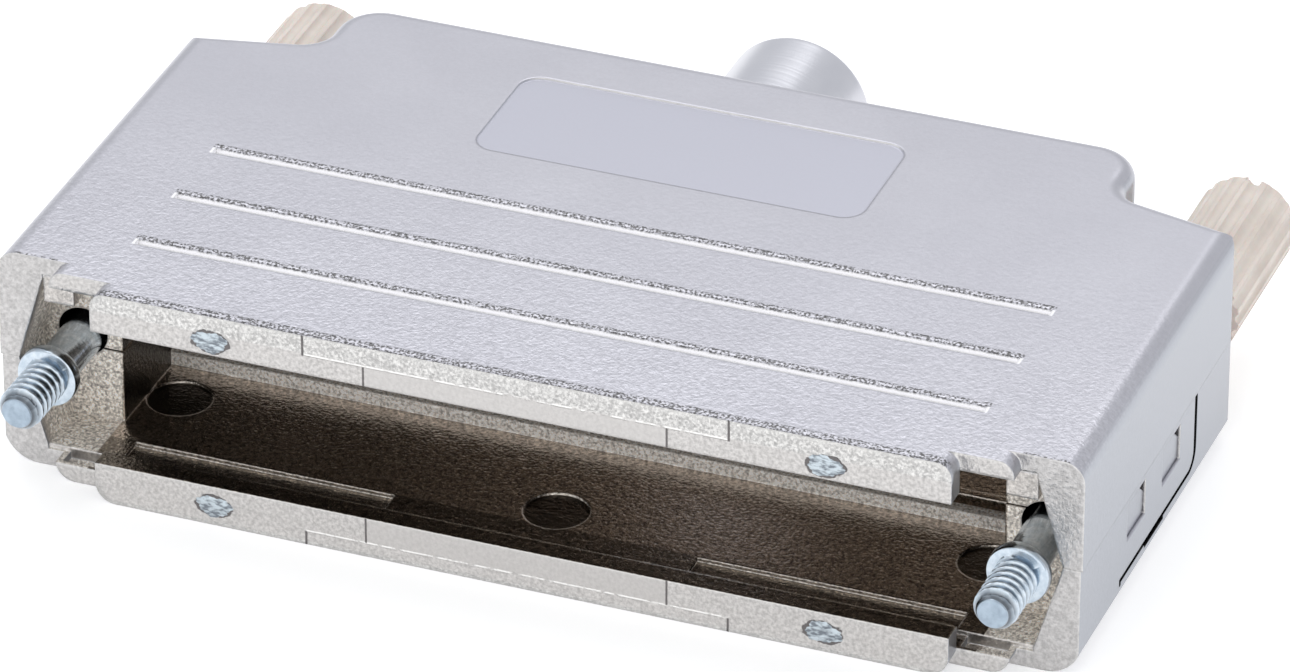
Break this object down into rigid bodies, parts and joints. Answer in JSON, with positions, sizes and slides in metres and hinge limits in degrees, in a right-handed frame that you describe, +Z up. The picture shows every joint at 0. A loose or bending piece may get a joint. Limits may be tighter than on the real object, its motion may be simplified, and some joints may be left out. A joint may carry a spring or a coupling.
{
  "type": "d-sub hood",
  "caption": "Metal D-sub connector hood: die-cast half shells that snap together, captive jack screws with fluted plastic knobs, and a round crimp sleeve for the cable.",
  "frame": {"origin": "middle of the hood's width and depth, on the underside of the lower shell", "axes": "+X along the width to the right seen from the mouth, +Y from the mouth to the cable sleeve, +Z up from the lower to the upper shell"},
  "size_m": [0.071, 0.0534, 0.015],
  "materials": {
    "nickel_zinc": "die-cast, nickel plated, satin with a fine cast grain",
    "nickel_sleeve": "turned, nickel plated, satin",
    "zinc_steel": "turned steel, bluish zinc plated",
    "ivory_plastic": "moulded, satin"
  },
  "bodies": {
    "hood": {"upper_shell": "nickel_zinc", "lower_shell": "nickel_zinc", "cable_sleeve": "nickel_sleeve"},
    "left_thumbscrew": {"left_jack_screw": "zinc_steel", "left_knob": "ivory_plastic"},
    "right_thumbscrew": {"right_jack_screw": "zinc_steel", "right_knob": "ivory_plastic"}
  },
  "joints": [
    {"name": "left_screw_turn", "type": "hinge", "parent": "hood", "child": "left_thumbscrew", "pos_m": [-0.03175, -0.02075, 0.00723], "axis": [0, 1, 0], "continuous": true},
    {"name": "right_screw_turn", "type": "hinge", "parent": "hood", "child": "right_thumbscrew", "pos_m": [0.03175, -0.02075, 0.00723], "axis": [0, 1, 0], "continuous": true}
  ]
}
